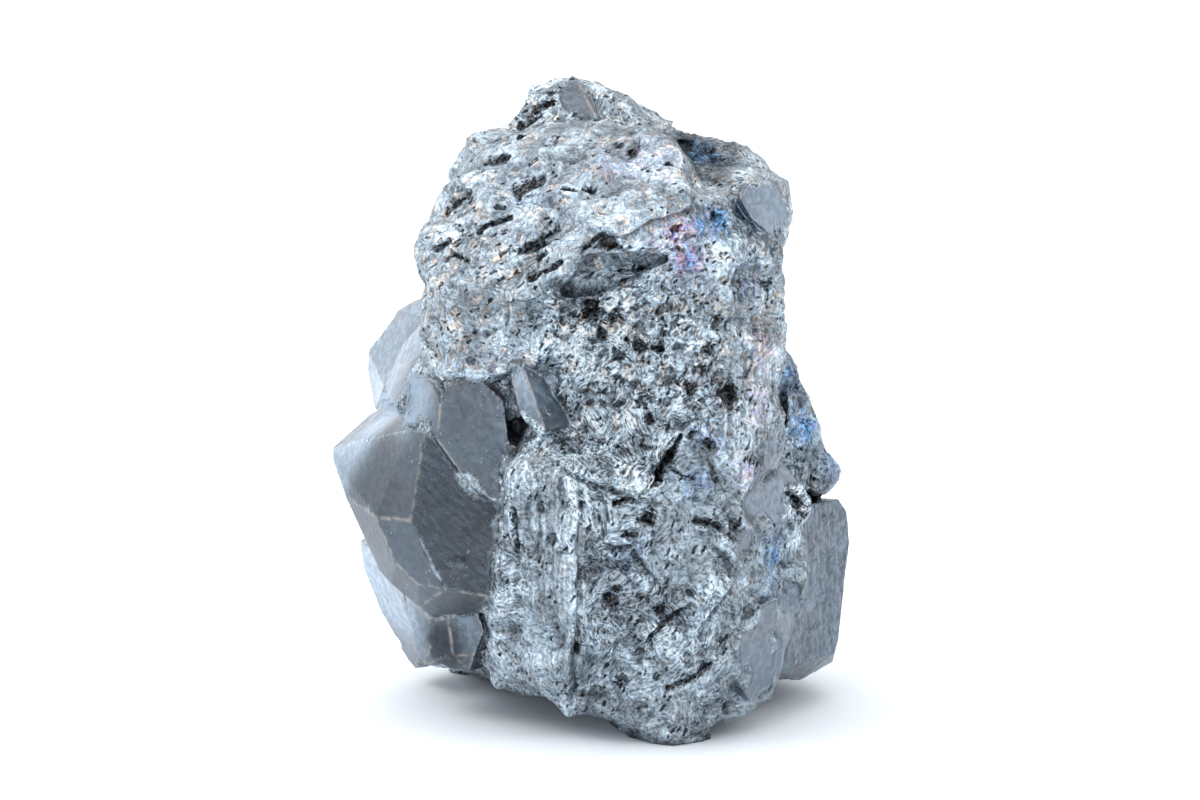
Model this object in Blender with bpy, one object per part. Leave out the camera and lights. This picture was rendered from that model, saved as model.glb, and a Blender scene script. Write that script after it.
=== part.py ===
"""Bournonite specimen: one broken metallic mass with flat-faced crystals grown out of its left side.

Metres, +Z up. The broken front faces -Y, +X is to its right, and the origin is on the surface
that the specimen stands on, under the middle of its box. Corner points are in millimetres.
"""

import bmesh
import bpy
from mathutils import Vector, noise

MM = 0.001

# Driving sizes of the broken mass, in millimetres: the cells it is fused at, and the chips that break it.
FUSE_CELL = 0.62
CHIPPED_CELL = 0.5
CHIP_SIZE, CHIP_DEPTH, CHIP_SEED = 4.4, 1.0, 3.1
FLAKE_SIZE, FLAKE_DEPTH, FLAKE_SEED = 2.0, 0.4, 7.7

# How far the chips stand out of the blocks, as a share of their depth.
CHIP_LIFT = 0.55

# Triangles left in the broken mass.
MASS_TRIANGLES = 7400

# Half the width of the block that grinds the three feet flat.
FLOOR_BOX = 60.0

# Corners of a hull that differ by less than this angle, in radians, lie in one flat face.
FLAT_ANGLE = 0.01

# Broken blocks of the mass, each the hull of its corners.
BROKEN_BLOCKS = {
    "core": [
        (-2, -10.5, 34), (3.7, -10, 34.3), (8, -11, 36.5), (13.9, -5, 36.1), (14.3, -6, 32.5),
        (14.5, -5.4, 29.7), (14.2, -6.2, 25), (13.7, -7, 21), (11, -11, 17), (8, -12.6, 11.5),
        (-6.4, -11, 17.3), (-6.3, -10.6, 21.3), (-5, -11, 26), (-9, 11, 31), (9, 12, 34), (13.5, 8, 31),
        (14, 10, 18), (-11, 10, 22), (-10, 11, 9), (13, 9, 5), (0, 15, 18), (-7, -8, 9), (7, -6, 3),
        (-6, 0, 3), (-4, 14, 8), (8, 13, 8),
    ],
    "upper_left_block": [
        (-11.6, -9.5, 33.9), (-8.3, -12, 33.4), (-3.6, -15, 34.2), (-0.8, -15, 37), (0.8, -14.3, 38.7),
        (-1.6, -3.6, 45.2), (-6.4, -3, 44), (-9.9, -4, 41.5), (-13.2, -5, 37), (-12.4, -3, 34),
        (-10.5, 7, 34), (-8, 8, 42), (-1, 9, 44), (0, 7, 35.5),
    ],
    "upper_right_block": [
        (0.8, -14.3, 38.7), (4.7, -13, 40.1), (7.2, -11.5, 41), (7.5, -7, 43.6), (5.9, -4.2, 44.9),
        (2.2, -3.6, 45.3), (-1.6, -3.6, 45.2), (-2, 8, 43), (8, 8, 42.5), (8, 7, 37), (0, 7, 37),
    ],
    "cheek": [
        (0.5, -13.2, 38.2), (4.7, -12.6, 39.6), (7.4, -11, 40.2), (9, -9, 40), (13.5, -4.5, 38),
        (14, -5, 35.6), (8, -10.8, 35), (3, -10.8, 34), (-1.5, -10.4, 34), (-1, -11, 36), (0, 5, 34),
        (12, 5, 36), (8, 0, 42), (0, 0, 42),
    ],
    "peak": [
        (-5.6, 1, 44), (-4.9, 3, 46), (-3.2, 4, 47.3), (-1.5, 5, 47.7), (0.9, 7, 46.6), (2.9, 7, 45.6),
        (4.7, 6.5, 44.7), (7.6, 4, 43.1), (-4, 11, 42), (2, 13, 42), (7, 11, 41), (0, -2, 43),
    ],
    "peak_side": [
        (-6.1, 2.4, 43.5), (-5.3, 2.4, 45.6), (-4.5, 2.8, 46.8), (-3.3, 2.6, 47.2), (-2.4, 1.6, 45.5),
        (-2.4, 1, 43.8), (-5.8, 5.5, 44), (-4.4, 5.5, 46.6), (-2.8, 5.5, 47.1), (-2.5, 5.5, 44),
    ],
    "left_knob": [
        (-9.3, 1, 42.8), (-8.6, 1, 43.9), (-6.9, 2, 44.2), (-5.6, 0, 43.9), (-6.3, -3.2, 43.1),
        (-8.2, -4, 42.1), (-9, 6, 41), (-6, 6, 42),
    ],
    "shoulder": [
        (8, 1, 43.3), (10.9, 1, 43.2), (12.2, 1, 42.3), (13.9, 0.5, 41.3), (14.9, 0.5, 39.8),
        (15, -0.5, 38.2), (14.4, -2.2, 37.1), (13.8, -3.4, 35.4), (10.9, -8.8, 35.6), (8, -11, 36.3),
        (7.6, -10.5, 39), (9.2, -8, 40.8), (10.6, -6.6, 41.4), (12.4, -5.2, 41.6), (8, 9, 41),
        (13, 7, 40), (14, 6, 34),
    ],
    "left_shelf": [
        (-11.6, -9, 33.8), (-8.3, -11, 33.3), (-2.1, -12, 33.4), (-3.6, -12.8, 29.4), (-6.5, -12, 27.7),
        (-11, -9, 26.7), (-12.2, -7, 27.1), (-12.4, -6, 30.2), (-12.4, -3, 34), (-10, 4, 26),
        (-9, 4, 34), (0, -6, 28),
    ],
    "hollow_back": [
        (-8.6, -8.9, 29), (-4.5, -9.4, 29), (-3.2, -10.4, 26), (-3, -10.6, 23), (-4.5, -9.6, 20.5),
        (-7.5, -8.8, 22), (-8.6, -8.4, 27), (-8, -2, 28), (-3, -2, 28), (-3, -2, 21), (-8, -2, 21),
    ],
    "lower_left_band": [
        (-3.2, -13, 24.2), (-0.6, -14.8, 22), (-0.5, -15.2, 19.6), (-0.8, -14.8, 11.9),
        (-0.6, -11, 3.2), (-2.2, -8.7, 1.7), (-5.2, -6.4, 2.3), (-7.3, -4.5, 3.1), (-8.2, -5.4, 4.8),
        (-7.6, -8, 7), (-6.7, -10.8, 11), (-6.4, -12, 17.3), (-6.1, -12.8, 21), (-4, 4, 4), (0, 0, 24),
    ],
    "lower_right_mass": [
        (-0.7, -13.6, 20.2), (0, -12.6, 22.5), (5.2, -13.6, 20.8), (10.6, -11.8, 16.5),
        (10.6, -12.2, 11.3), (9.6, -12.6, 6.9), (7.4, -11.2, 0.9), (5.8, -11.4, 0.8), (3.7, -11, 1.3),
        (0.8, -10, 1.9), (-1.4, -12.6, 11.7), (5.1, -13.6, 8.7), (3, 0, 1), (9, 0, 2), (11, 0, 20),
    ],
    "right_flank": [
        (11.2, -10.8, 16.4), (16.1, -4.3, 15.2), (16.5, -3.6, 12.6), (15.6, -5, 10.7), (14.7, -7.4, 7),
        (13.8, -6.6, 2.9), (11.5, -8.6, 1.6), (8.1, -10.8, 1.2), (7.3, -13.2, 11.6), (4, -2, 17),
        (4, -2, 2), (14, 3, 3), (14, 3, 16),
    ],
    "keel_root": [
        (7.5, -13.4, 10), (11.2, -11.9, 9.8), (10.6, -11.8, 7), (10.4, -11.3, 4.8), (7.5, -12.4, 5),
        (10.5, -9.8, 2.4), (7.5, -10.5, 2.2), (8, -4, 10), (12, -6, 10), (12, -5, 3), (8, -4, 3),
    ],
    "bottom_rim": [
        (-3.3, -9.4, 2.8), (-2.1, -9.2, 1.7), (1.9, -9.2, 1.5), (11.2, -7.6, 1.2), (13.7, -5, 2.7),
        (-2.2, -11, 6.5), (11.1, -10.5, 7.1), (-2, 2, 3), (10, 2, 3), (0, 0, 9), (9, 0, 9),
    ],
    "right_ridge": [
        (14.4, 0.5, 29), (15.9, 3, 25.2), (17.1, 4, 20.9), (18.9, 4, 17.6), (19.2, 3, 16.4),
        (18.6, 1.8, 15.6), (15.4, -0.5, 17), (12, 2, 30), (13, 9, 28), (16, 11, 18), (11, 9, 15),
    ],
    "rear_top": [
        (-9.5, 1, 34), (-9, 8, 35.5), (-4, 12.4, 38), (5, 12.6, 38), (12, 8, 38), (13.4, 2, 36),
        (-9, 7, 27), (10.5, 10, 26), (0, 14, 28), (0, 6, 43), (-6, 5, 42), (7, 7, 42),
    ],
    "left_rear": [
        (-12.6, 4, 28), (-11.4, 9, 28), (-9.4, 12.4, 24), (-13, 6, 12), (-11.4, 10.4, 10),
        (-7, 13.4, 8), (-10.5, 4, 5), (-6, 10, 31), (-4, 0, 28), (-4, 0, 8),
    ],
    "right_rear": [
        (14, 1.6, 31), (13.4, 8, 32), (11.6, 12, 27), (15.6, 8, 17), (14, 11, 10), (15, 3, 12),
        (10, 13.6, 8), (9, 0, 31), (4, 4, 8),
    ],
    "rear_base": [
        (-11.4, 6, 4.5), (-9, 12.6, 4.5), (10, 12.6, 4.5), (14.4, 6, 4.5), (13, -3, 3), (-7.6, -3, 3.6),
        (-10, 10, 9), (12, 10, 9), (-10, 7.2, 0.5), (-4, 2, 1.2), (12.4, 6, 0.5), (10.5, 0, 1),
        (9.2, 12, 0.6), (1, 13, 1.4), (-7, 12.8, 0.6),
    ],
    "back_block": [
        (-8, 8, 36), (5, 10, 38), (10, 9, 36), (12, 14, 26), (9, 16.5, 16), (-3, 17, 20), (-7, 14, 29),
        (-6, 15, 12), (6, 16, 8),
    ],
}

# Feet: what the specimen stands on. Their soles reach below zero and are ground flat.
FEET = {
    "front_foot": [
        (6.2, -11.4, -0.7), (8.8, -9.2, -0.7), (8.4, -3.5, -0.7), (1.2, -3.8, -0.7), (3.6, -9.6, -0.7),
        (7, -10, 5), (2, -8, 5), (2, 0, 5), (9, -1, 5),
    ],
    "left_back_foot": [
        (-10.8, 9.2, -0.7), (-7.2, 8.6, -0.7), (-6.2, 13.2, -0.7), (-9.8, 13.4, -0.7), (-12, 8, 6),
        (-4, 6, 7), (-5, 15, 7), (-11, 14, 7),
    ],
    "right_back_foot": [
        (8.6, 8.2, -0.7), (13.2, 6.4, -0.7), (13.6, 10.4, -0.7), (9, 12.6, -0.7), (6, 6, 6), (15, 5, 6),
        (15, 12, 6), (7, 14, 7),
    ],
}

# Crystals and smooth cleavage plates, whose faces stay flat.
CRYSTALS = {
    "large_crystal": [
        (-12.1, -8.3, 23.1), (-13.2, -9, 16.5), (-11.4, -9.8, 12.6), (-10.6, -10.1, 11.6),
        (-6.6, -10.9, 11), (-6.2, -10.4, 15.4), (-6.6, -9.9, 17.9), (-8.8, -9.3, 19.7),
        (-13.1, -7.2, 23.1), (-15.9, -6.3, 16.2), (-14.4, -6.9, 12.7), (-12.7, -8.3, 11.5),
        (-12.7, -6.2, 9.2), (-8.1, -8.1, 9.3), (-11.8, -5.4, 8.3), (-18.4, -1.2, 16.6),
        (-15.8, -3, 11.2), (-17.1, -2, 13.9), (-14.8, -4.5, 10.5), (-17.9, -1.2, 18.4),
        (-15.2, -4.4, 21.2), (-13.9, -6.1, 22.6), (-19.5, 2.6, 19.5), (-16.8, 4.6, 21.6),
        (-14.8, 4.1, 22.8), (-19.5, 1.6, 18.8), (-14.5, 9, 17), (-15, 6, 11), (-5, 4, 22), (-5, 4, 10),
        (-7, 0, 22),
    ],
    "brow_crystal": [
        (-11.2, -9, 22.6), (-10.4, -9.3, 21.5), (-9.1, -9.9, 19.8), (-7.8, -10.4, 18.4),
        (-6.6, -10.9, 18.2), (-5.7, -11, 21.4), (-6.3, -10.6, 25.9), (-8, -9.9, 27.4),
        (-10.2, -9.1, 27.3), (-10.9, -9, 25.8), (-14.3, -4, 24.5), (-13.8, -5, 22.9),
        (-12.5, -6.9, 22.8), (-11.3, -8.1, 27.5), (-13.2, -5.2, 27.4), (-12, 2, 27), (-4, 2, 27),
        (-4, 2, 18), (-13, 1, 21),
    ],
    "white_crystal": [
        (-15.4, -0.4, 24.9), (-14.1, 0.6, 27.8), (-13.2, -4, 27.4), (-14.5, -5, 24.4),
        (-12.3, 0.6, 29.9), (-11.6, -5.8, 28.5), (-13.5, -4.4, 24.6), (-13.8, -4.6, 22.8), (-13, 6, 28),
        (-14, 6, 24), (-8, 4, 30), (-8, 4, 24),
    ],
    "far_crystal": [
        (-12.4, 6.5, 30.3), (-13.6, 8, 29.7), (-14.8, 9, 28.8), (-15.9, 10, 27), (-17.1, 10, 25.4),
        (-17.2, 10, 24.1), (-17, 10, 22.7), (-16.6, 9, 21.8), (-16.5, 8, 21.2), (-14.6, 5.5, 26.8),
        (-15.7, 4.5, 23.8), (-12.5, 4, 29.2), (-12, 14.5, 29), (-14, 14.5, 24), (-8, 13, 31),
        (-8, 12, 20),
    ],
    "low_plate": [
        (-17.6, 4, 11.9), (-17.4, 5, 9.4), (-16.2, 5.5, 7.9), (-16.1, 6, 5.7), (-15.3, 6.2, 4.4),
        (-14.6, 6.4, 3), (-14.1, 6.2, 1.8), (-13.5, 5.6, 1.3), (-12.6, 4.2, 1.8), (-13, 2, 3.7),
        (-14.1, 0.5, 8.3), (-15.5, 0, 11.3), (-13.5, 10, 12), (-11, 12, 4), (-9, 8, 2.4), (-9, 5, 12),
    ],
    "small_crystal": [
        (-12, -4.9, 8), (-10.6, -6.3, 8.4), (-10.2, -6.2, 5.5), (-12, -4.6, 5.8), (-8.3, -7.4, 9.1),
        (-7.9, -7.5, 7.7), (-8.6, -6.9, 5.7), (-12.5, -3.2, 4), (-9, -6, 4.2), (-14, -2.4, 9.4),
        (-13.5, -2.4, 7.1), (-13.2, -2.2, 4.9), (-11.3, -3.6, 3.8), (-9, 4, 9.5), (-9, 4, 3.2),
        (-6, 0, 3.6), (-6, -2, 9),
    ],
    "tabular_plate": [
        (-5.6, -11, 29.6), (-5.1, -11.6, 29.4), (-3.2, -13.8, 24.4), (-3.6, -13.2, 23.8),
        (-5.1, -12, 25.4), (-5.7, -11.2, 27.6), (-5.9, -10.6, 28.6), (-3, -7, 30), (1, -8, 24),
        (-4, -7, 23),
    ],
    "right_slab": [
        (15.8, -1.5, 15.9), (18.9, 2.7, 15.4), (19.6, 3.5, 14.2), (19.8, 3.5, 12), (19.5, 2.8, 9.4),
        (18.9, 1.4, 5.9), (18.9, 1.2, 4.7), (18.6, 0.7, 3.9), (13.9, -5.8, 4.1), (13.9, -5.5, 6.5),
        (14.4, -4.4, 9.3), (15.2, -3, 12), (18.6, 3.4, 2.4), (16, -0.4, 2), (14.2, -2.6, 2.5),
        (17.4, 9.5, 14), (16.6, 9.5, 4), (9, 9, 3), (9, 9, 14), (9, -4, 3.4), (9, -2, 14),
    ],
    "smooth_patch": [
        (13.2, -7, 21.8), (14.3, -5.5, 19.6), (16.6, -2.5, 16.7), (16.7, -2.7, 15.1),
        (14.9, -5.2, 14.9), (12.6, -8.5, 15.4), (10.9, -10.7, 17.7), (11.6, -9.3, 20.4), (9, -2, 20),
        (13, 1, 20), (13, 1, 15),
    ],
    "keel": [
        (13.9, -8.9, 10.6), (12.5, -10.7, 10.4), (11.1, -11.9, 8.3), (10.7, -11.6, 5.5),
        (11.8, -9.6, 2.9), (13.5, -7.8, 3.4), (14.1, -7.7, 6.5), (4, -3, 12), (9, -1, 10), (9, -1, 3),
        (4, -3, 3),
    ],
    "shoulder_facet": [
        (11.6, -7.7, 41.3), (13.4, -4.9, 41.1), (14.7, -3.4, 38.4), (13.6, -5.6, 37), (11.8, -8, 38.9),
        (10.9, -8.9, 40.5), (11, 0, 41.5), (13.5, 0, 41), (13.5, 0, 37), (10, 0, 38),
    ],
    "peak_facet": [
        (-2.5, 3.2, 47.5), (-1.3, 3.8, 48), (0.2, 3.2, 46.6), (0.6, 0.4, 44.9), (-2.2, -0.2, 44.7),
        (-2.8, 1.4, 46.3), (-3, 8, 44), (1, 8, 44),
    ],
    "back_crystal": [
        (-6, 13, 31), (-1, 15.4, 33.4), (4, 14.4, 30), (4.6, 16, 23), (-1, 17, 20), (-6.4, 15.8, 24),
        (-4, 6, 32), (3, 6, 30), (0, 6, 20),
    ],
}

# Openings cut into the specimen: a fissure, a vug, a pit under the ledge and the hollow beside the plate.
CUTS = {
    "fissure": [
        (3.1, -17, 19.2), (3.9, -17, 18.7), (6.2, -17, 21.4), (6.0, -17, 22), (3.4, -11.4, 19.4),
        (5.8, -11, 21.5),
    ],
    "round_vug": [
        (14.3, -9, 18.6), (16.2, -6, 18.2), (16.4, -6, 16.4), (15, -8, 15.6), (13.9, -9, 16.8),
        (14.4, -2.8, 17.6), (15, -2.4, 16.8),
    ],
    "plate_hollow": [
        (-6.2, -14, 24.6), (-3.7, -16, 24.9), (-5.7, -15, 21.4), (-5.8, -8.6, 24), (-4.8, -8.8, 24.2),
        (-5.4, -8.8, 22.8),
    ],
    "ledge_recess": [
        (-0.4, -9.5, 36.3), (3.7, -9.4, 37.1), (5.7, -9.7, 36.3), (3.7, -10, 35), (1.2, -10.2, 34),
        (-2.3, -10.2, 33.7), (-1.6, -17, 35), (1, -17, 37.6), (5, -16, 38), (5.6, -16, 36.6),
        (2, -17, 34.6),
    ],
    "blue_pocket": [
        (6, -6, 44.8), (11.6, -6, 44.4), (8, -8.6, 41.7), (7.5, -12, 44.6), (10.1, -12, 44.6),
        (6.4, 0.6, 43.3), (11, 1.4, 43), (8.3, -2.4, 41.7),
    ],
    "right_groove": [
        (14.6, -5, 27.4), (16, -5, 24), (15.4, -5, 20.4), (14.5, -5, 21), (14.2, 2.4, 25),
        (14.4, 2.2, 22),
    ],
}

BODY_COLOUR = (0.30, 0.32, 0.345, 1.0)
BODY_ROUGHNESS = 0.34


def clear_scene():
    for old in list(bpy.data.objects):
        bpy.data.objects.remove(old)


def add_object(name, mesh):
    obj = bpy.data.objects.new(name, mesh)
    bpy.context.scene.collection.objects.link(obj)
    return obj


def hull(name, corners):
    """A convex block with these corners."""
    shape = bmesh.new()
    for corner in corners:
        shape.verts.new(Vector(corner) * MM)
    made = bmesh.ops.convex_hull(shape, input=shape.verts)
    unused = made["geom_interior"] + made["geom_unused"]
    inside = [item for item in unused if isinstance(item, bmesh.types.BMVert)]
    bmesh.ops.delete(shape, geom=list(set(inside)), context="VERTS")
    bmesh.ops.dissolve_limit(shape, angle_limit=FLAT_ANGLE, verts=shape.verts, edges=shape.edges)
    bmesh.ops.recalc_face_normals(shape, faces=shape.faces)
    mesh = bpy.data.meshes.new(name)
    shape.to_mesh(mesh)
    shape.free()
    return add_object(name, mesh)


def bake_modifiers(obj):
    """Turns the object's modifiers into its own mesh."""
    bpy.context.view_layer.update()
    graph = bpy.context.evaluated_depsgraph_get()
    mesh = bpy.data.meshes.new_from_object(obj.evaluated_get(graph))
    obj.modifiers.clear()
    obj.data = mesh


def combine(obj, other, operation):
    """Joins other to obj, or cuts it away, and removes other."""
    modifier = obj.modifiers.new(operation.lower(), "BOOLEAN")
    modifier.operation = operation
    modifier.use_self = True
    modifier.object = other
    bake_modifiers(obj)
    bpy.data.objects.remove(other)


def join_blocks(name, groups):
    """One object that holds the hulls of every block, still as overlapping shells."""
    shape = bmesh.new()
    for blocks in groups:
        for block_name, corners in blocks.items():
            block = hull(block_name, corners)
            shape.from_mesh(block.data)
            bpy.data.objects.remove(block)
    mesh = bpy.data.meshes.new(name)
    shape.to_mesh(mesh)
    shape.free()
    return add_object(name, mesh)


def chip(point, size, depth, seed):
    """Offset of a surface broken into flat chips: the lowest of the tilted planes of the nearest cells."""
    place = point / (size * MM) + Vector((seed, 2 * seed, 3 * seed))
    cells = noise.voronoi(place)[1]
    planes = [(place - cell).dot(2 * noise.cell_vector(cell) - Vector((1, 1, 1))) for cell in cells]
    return depth * MM * (min(planes) + CHIP_LIFT)


def break_surface(obj):
    """Moves each vertex along its normal, so that the blocks look broken and not sawn."""
    mesh = obj.data
    normals = [vertex.normal.copy() for vertex in mesh.vertices]
    for vertex, normal in zip(mesh.vertices, normals):
        place = vertex.co.copy()
        chips = chip(place, CHIP_SIZE, CHIP_DEPTH, CHIP_SEED)
        flakes = chip(place, FLAKE_SIZE, FLAKE_DEPTH, FLAKE_SEED)
        vertex.co = place + normal * (chips + flakes)
    mesh.update()


def fuse(obj, cell):
    """Turns overlapping or folded shells into one closed skin."""
    remesh = obj.modifiers.new("fuse", "REMESH")
    remesh.mode = "VOXEL"
    remesh.voxel_size = cell * MM
    bake_modifiers(obj)


def broken_mass():
    """The blocks and feet fused into one body, chipped all over, at a modest number of triangles."""
    mass = join_blocks("mass", [BROKEN_BLOCKS, FEET])
    fuse(mass, FUSE_CELL)
    break_surface(mass)
    fuse(mass, CHIPPED_CELL)
    triangles = mass.modifiers.new("triangles", "TRIANGULATE")
    triangles.quad_method = "BEAUTY"
    bake_modifiers(mass)
    fewer = mass.modifiers.new("fewer", "DECIMATE")
    fewer.ratio = MASS_TRIANGLES / len(mass.data.polygons)
    fewer.use_collapse_triangulate = True
    bake_modifiers(mass)
    return mass


def grind_feet(obj):
    """Cuts away what is below the surface that the specimen stands on."""
    low, high = -FLOOR_BOX, FLOOR_BOX
    corners = [(x, y, z) for x in (low, high) for y in (low, high) for z in (low, 0.0)]
    combine(obj, hull("floor", corners), "DIFFERENCE")


def keep_largest_part(obj):
    """Drops any loose chip that the cuts left."""
    shape = bmesh.new()
    shape.from_mesh(obj.data)
    left = set(shape.verts)
    parts = []
    while left:
        start = left.pop()
        part, front = {start}, [start]
        while front:
            vertex = front.pop()
            for edge in vertex.link_edges:
                other = edge.other_vert(vertex)
                if other in left:
                    left.remove(other)
                    part.add(other)
                    front.append(other)
        parts.append(part)
    parts.sort(key=len)
    for part in parts[:-1]:
        bmesh.ops.delete(shape, geom=list(part), context="VERTS")
    shape.to_mesh(obj.data)
    shape.free()


def centre_on_origin(obj):
    """Puts the origin at the bottom centre of the specimen's box."""
    points = [vertex.co for vertex in obj.data.vertices]
    middle = [(min(p[k] for p in points) + max(p[k] for p in points)) / 2 for k in range(2)]
    floor = min(p.z for p in points)
    for vertex in obj.data.vertices:
        vertex.co -= Vector((*middle, floor))


def metallic_mineral():
    material = bpy.data.materials.new("bournonite")
    material.use_nodes = True
    shader = material.node_tree.nodes["Principled BSDF"]
    shader.inputs["Base Color"].default_value = BODY_COLOUR
    shader.inputs["Metallic"].default_value = 1.0
    shader.inputs["Roughness"].default_value = BODY_ROUGHNESS
    return material


def build_specimen():
    crystals = [hull(name, corners) for name, corners in CRYSTALS.items()]
    for crystal in crystals[1:]:
        combine(crystals[0], crystal, "UNION")
    specimen = broken_mass()
    combine(specimen, crystals[0], "UNION")
    for name, corners in CUTS.items():
        combine(specimen, hull(name, corners), "DIFFERENCE")
    grind_feet(specimen)
    keep_largest_part(specimen)
    centre_on_origin(specimen)
    specimen.name = "bournonite"
    specimen.data.name = "bournonite"
    specimen.data.materials.clear()
    specimen.data.materials.append(metallic_mineral())
    specimen.data.shade_flat()
    return specimen


clear_scene()
build_specimen()
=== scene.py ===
"""Bournonite specimen: the look of the photographed piece, built on the frame.

The frame's one node gives the coarse shape. Here it is cut into a fine skin, its crystal faces are made
exactly flat, and the rest is broken into chips, flakes, grooves and pits. Lengths are in millimetres
unless a name says otherwise.
"""

import math

import bmesh
import bpy
import numpy as np
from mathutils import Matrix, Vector
from mathutils.bvhtree import BVHTree
from mathutils.kdtree import KDTree


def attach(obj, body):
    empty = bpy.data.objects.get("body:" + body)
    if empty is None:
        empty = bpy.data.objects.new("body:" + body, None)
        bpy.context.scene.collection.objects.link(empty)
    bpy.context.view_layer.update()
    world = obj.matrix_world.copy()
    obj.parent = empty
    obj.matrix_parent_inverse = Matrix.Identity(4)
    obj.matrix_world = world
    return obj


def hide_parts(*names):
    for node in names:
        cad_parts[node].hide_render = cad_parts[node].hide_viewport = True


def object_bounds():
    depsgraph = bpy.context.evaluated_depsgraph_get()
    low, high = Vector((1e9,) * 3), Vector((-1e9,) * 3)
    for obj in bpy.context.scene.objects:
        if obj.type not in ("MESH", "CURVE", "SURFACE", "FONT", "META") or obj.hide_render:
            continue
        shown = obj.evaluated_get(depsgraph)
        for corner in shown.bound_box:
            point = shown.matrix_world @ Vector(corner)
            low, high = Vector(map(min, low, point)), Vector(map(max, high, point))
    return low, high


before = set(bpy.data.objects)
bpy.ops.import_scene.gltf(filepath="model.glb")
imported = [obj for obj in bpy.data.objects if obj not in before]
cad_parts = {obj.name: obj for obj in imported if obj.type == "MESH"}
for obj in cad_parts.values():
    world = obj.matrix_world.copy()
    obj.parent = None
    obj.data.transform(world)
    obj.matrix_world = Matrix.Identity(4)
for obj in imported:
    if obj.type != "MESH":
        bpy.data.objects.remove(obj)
CAD_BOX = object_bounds()

MM = 0.001

# Size of the skin's cells, and how many times its points are evened out.
SKIN_CELL = 0.15
RELAX_ROUNDS = 6

# How many times the flat faces are spread to find their rims, and blended with the break there.
RIM_ROUNDS = 24
BLEND_ROUNDS = 2

# What a point is measured against to be a ridge or a hollow, and the height of a full ridge.
RIDGE_ROUNDS = 8
RIDGE_HEIGHT = 0.16

# Worn crystal edges: the least angle of one, the gap between its points and the width of its pale line.
EDGE_ANGLE = math.radians(15.0)
EDGE_GAP = 0.12
WORN_WIDTH = 0.12

# Places along X between which the worn edges begin, from right to left.
WORN_FROM = (6.0, 3.0)

# A point whose normal is further than this cosine from its flat face is shaded as the face.
EDGE_COSINE = 0.985

# Heights up to which the feet stay flat, and up to which a point lies in a sole.
FOOT_HEIGHT = 0.3
SOLE_HEIGHT = 0.05

# How far the whole break lies inside the frame's node.
SHRINK = 0.12

# Sizes of the chips, flakes, fans and random holes, and the gap between a fan's plates.
CHIP_SIZE = 3.4
FLAKE_SIZE = 1.5
FAN_SIZE = 2.3
HOLE_SIZE = 0.5
FAN_PITCH = 0.62

# Depth of the random holes, the share of a pit's depth that is cut, and the depth whose painted shade is
# darkest.
HOLE_DEPTH = 0.40
CUT_SHARE = 0.6
DARK_DEPTH = 0.6

# Least area, in square millimetres, of coplanar triangles that are a flat face, and of those on a crystal.
FLAT_AREA = 7.0
CRYSTAL_FLAT_AREA = 1.3
COPLANAR_ANGLE = math.radians(3.0)

# Where the small crystal faces are: lowest and highest corner of each box.
CRYSTAL_BOXES = [
    ((-21, -12, 7.5), (-5.6, 12, 28)),
    ((-19, -9, 0.8), (-7.5, 12, 12)),
    ((-18, -7, 20), (-10.5, 15, 31)),
    ((14.2, -6, 1), (21, 10, 16.5)),
    ((11.0, -13, 14), (17, -1, 22.5)),
    ((10.5, -10, 36.5), (15.5, -2, 42)),
    ((-7.2, -15, 23), (-2.4, -9.5, 31)),
    ((-3.2, -2, 43.5), (1.6, 5, 48.2)),
    ((10.4, -14, 2.2), (15, -7.5, 11)),
]

# Where even a large flat face is broken.
BROKEN_BOXES = [
    ((5.0, -8, 39.5), (12.5, 3, 46)),
    ((-3.0, -12.6, 33), (6.6, -9, 37.6)),
]

# Where a flat face is broken within a distance of a point.
BROKEN_SPOTS = [
    ((15.3, -5.5, 16.5), 1.9), ((-12.0, -7.6, 23.4), 0.9),
    ((11.4, -12.1, 9.9), 1.2), ((11.4, -11.8, 5.0), 1.0),
]

# Pits: a point on the surface, radius and depth.
PITS = [
    ((-8.9, -7.6, 40.0), 0.3, 0.4), ((5.5, -9.3, 42.9), 0.35, 0.4), ((8.9, -10.6, 39.4), 0.5, 0.5),
    ((9.9, -10.1, 38.6), 0.35, 0.45), ((6.2, -12.5, 38.7), 0.35, 0.45), ((6.5, -12.5, 37.2), 0.35, 0.45),
    ((10.4, -10.2, 33.7), 0.45, 0.5), ((12.8, -8.1, 33.8), 0.55, 0.6), ((-0.1, -12.1, 32.7), 0.7, 0.7),
    ((1.7, -12.3, 32.2), 0.75, 0.75), ((3.5, -12.3, 30.2), 0.5, 0.6), ((0.6, -12.2, 30.9), 0.5, 0.6),
    ((5.0, -12.7, 29.9), 0.4, 0.5), ((9.3, -11.9, 31.6), 0.7, 0.75), ((8.6, -12.5, 29.8), 0.55, 0.6),
    ((7.1, -12.9, 27.1), 0.55, 0.65), ((10.1, -11.3, 26.2), 1.05, 0.95), ((-2.3, -12.0, 26.0), 0.5, 0.5),
    ((3.5, -12.5, 26.1), 0.5, 0.6), ((4.2, -12.6, 24.7), 0.4, 0.5), ((8.6, -12.7, 22.8), 0.5, 0.5),
    ((4.1, -14.5, 17.8), 0.6, 0.6), ((2.9, -15.0, 16.9), 0.6, 0.6), ((10.5, -12.6, 16.6), 0.6, 0.6),
    ((15.4, -5.3, 16.6), 1.2, 0.9), ((1.2, -14.6, 11.6), 0.65, 0.65), ((1.9, -14.9, 12.5), 0.4, 0.5),
    ((-1.0, -14.0, 7.7), 0.6, 0.65), ((3.5, -13.5, 7.6), 0.4, 0.4),
    ((2.1, -12.9, 5.1), 0.5, 0.5), ((7.2, -14.3, 12.0), 0.35, 0.4), ((5.0, -14.0, 10.8), 0.5, 0.5),
    ((-2.7, -15.1, 16.3), 0.5, 0.4), ((-0.7, -15.6, 19.0), 0.35, 0.4),
]

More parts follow.
